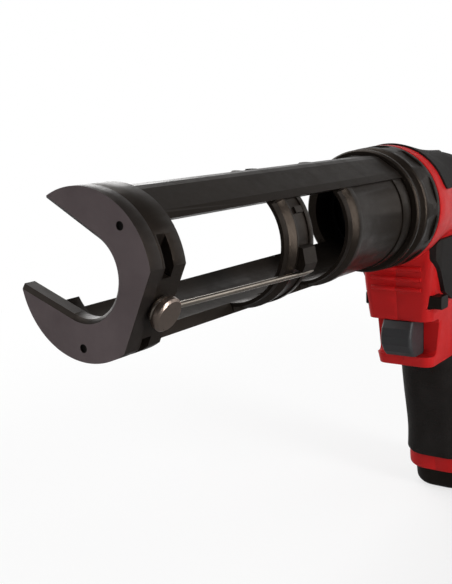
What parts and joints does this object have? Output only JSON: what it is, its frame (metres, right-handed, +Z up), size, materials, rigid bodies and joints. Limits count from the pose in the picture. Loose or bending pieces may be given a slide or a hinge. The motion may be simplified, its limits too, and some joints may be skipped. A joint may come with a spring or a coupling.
{
  "type": "cordless caulking tool",
  "caption": "Cordless caulking tool with an open turning cartridge cradle, nozzle yoke, swinging seal punch, toothed push rod, pistol grip and slide-in battery.",
  "frame": {"origin": "on the tool's axis, in the plane of the lock collar's front face, inside the cradle's rear ring", "axes": "+X along the tool from nose to pull ring, +Z up, the tool's left is -Y"},
  "size_m": [0.6045, 0.0674, 0.2292],
  "materials": {
    "cradle_plastic": "fine moulded grain",
    "nose_metal": "satin dark grey",
    "dark_steel": "blackened",
    "pin_steel": "plain steel",
    "zinc_wire": "bright zinc",
    "zinc_steel": "zinc plated",
    "aluminium": "die cast",
    "brass": "plain",
    "black_plastic": "fine texture",
    "red_plastic": "satin moulding",
    "black_rubber": "matte overmould",
    "trigger_plastic": "satin",
    "board_green": "solder mask",
    "cell_wrap": "sleeve"
  },
  "bodies": {
    "body": {"gear_nose": "aluminium", "front_bush": "brass", "rear_bush": "brass", "gear_frame": "aluminium", "frame_screws": "dark_steel", "shaft_bushes": "brass", "gearbox_case": "aluminium", "motor": "zinc_steel", "left_housing": "red_plastic", "right_housing": "red_plastic", "housing_screws": "dark_steel", "left_top_cover": "black_rubber", "right_top_cover": "black_rubber", "left_side_panel": "black_rubber", "right_side_panel": "black_rubber", "left_grip": "black_rubber", "right_grip": "black_rubber", "switch_box": "black_plastic", "dial_axle": "zinc_steel", "control_board": "board_green", "terminal_block": "black_plastic", "terminal_blades": "brass", "trigger_spring": "zinc_steel", "release_spring": "zinc_steel"},
    "cradle": {"cradle": "cradle_plastic", "nose_plate": "nose_metal", "nose_pins": "dark_steel", "punch_pivot": "pin_steel"},
    "punch": {"punch_wire": "zinc_wire"},
    "collar": {"lock_collar": "cradle_plastic"},
    "rod": {"rack_rod": "zinc_steel", "plunger_disc": "zinc_steel", "plunger_screw": "zinc_steel", "pull_ring": "black_plastic"},
    "drive": {"rack_pinion": "dark_steel", "drive_gear": "dark_steel", "drive_shaft": "zinc_steel"},
    "output": {"output_pinion": "dark_steel"},
    "trigger": {"trigger": "trigger_plastic"},
    "shuttle": {"lock_shuttle": "black_plastic"},
    "dial": {"speed_dial": "black_plastic"},
    "button": {"release_button": "black_plastic"},
    "battery": {"battery_case": "black_plastic", "battery_cells": "cell_wrap", "battery_foot": "black_plastic"},
    "left_latch": {"left_latch": "trigger_plastic"},
    "right_latch": {"right_latch": "trigger_plastic"}
  },
  "joints": [
    {"name": "cradle_turn", "type": "hinge", "parent": "body", "child": "cradle", "pos_m": [0, 0, 0], "axis": [1, 0, 0], "continuous": true},
    {"name": "collar_turn", "type": "hinge", "parent": "body", "child": "collar", "pos_m": [0, 0, 0], "axis": [1, 0, 0], "range_deg": [0, 180]},
    {"name": "punch_swing", "type": "hinge", "parent": "cradle", "child": "punch", "pos_m": [-0.1999, -0.02533, -0.01181], "axis": [0, 0.9063, 0.4226], "range_deg": [0, 180]},
    {"name": "rod_slide", "type": "slide", "parent": "body", "child": "rod", "axis": [-1, 0, 0], "range_m": [0, 0.2]},
    {"name": "drive_spin", "type": "hinge", "parent": "body", "child": "drive", "pos_m": [0.072, 0, -0.01195], "axis": [0, -1, 0], "range_deg": [0, 1320]},
    {"name": "output_spin", "type": "hinge", "parent": "body", "child": "output", "pos_m": [0.08089, 0, -0.03638], "axis": [0, 1, 0], "range_deg": [0, 4400]},
    {"name": "trigger_pull", "type": "slide", "parent": "body", "child": "trigger", "axis": [1, 0, 0], "range_m": [0, 0.006], "stiffness_N_per_m": 700, "springref_m": -0.006, "deforming": ["trigger_spring"]},
    {"name": "shuttle_slide", "type": "slide", "parent": "body", "child": "shuttle", "axis": [0, 1, 0], "range_m": [0, 0.0053]},
    {"name": "dial_turn", "type": "hinge", "parent": "body", "child": "dial", "pos_m": [0.098, 0, 0.0176], "axis": [0, 1, 0], "range_deg": [0, 270]},
    {"name": "button_press", "type": "slide", "parent": "body", "child": "button", "axis": [-1, 0, 0], "range_m": [0, 0.0035], "stiffness_N_per_m": 600, "springref_m": -0.004, "deforming": ["release_spring"]},
    {"name": "battery_slide", "type": "slide", "parent": "body", "child": "battery", "axis": [0.2079, 0, -0.9781], "range_m": [0, 0.09]},
    {"name": "left_latch_press", "type": "slide", "parent": "battery", "child": "left_latch", "axis": [0, 1, 0], "range_m": [0, 0.0015], "stiffness_N_per_m": 1200, "springref_m": -0.001},
    {"name": "right_latch_press", "type": "slide", "parent": "battery", "child": "right_latch", "axis": [0, -1, 0], "range_m": [0, 0.0015], "stiffness_N_per_m": 1200, "springref_m": -0.001}
  ],
  "couplings": [
    {"joint": "drive_spin", "follows": "rod_slide", "rad_per_m": 114.29},
    {"joint": "output_spin", "follows": "rod_slide", "rad_per_m": 380.95}
  ]
}
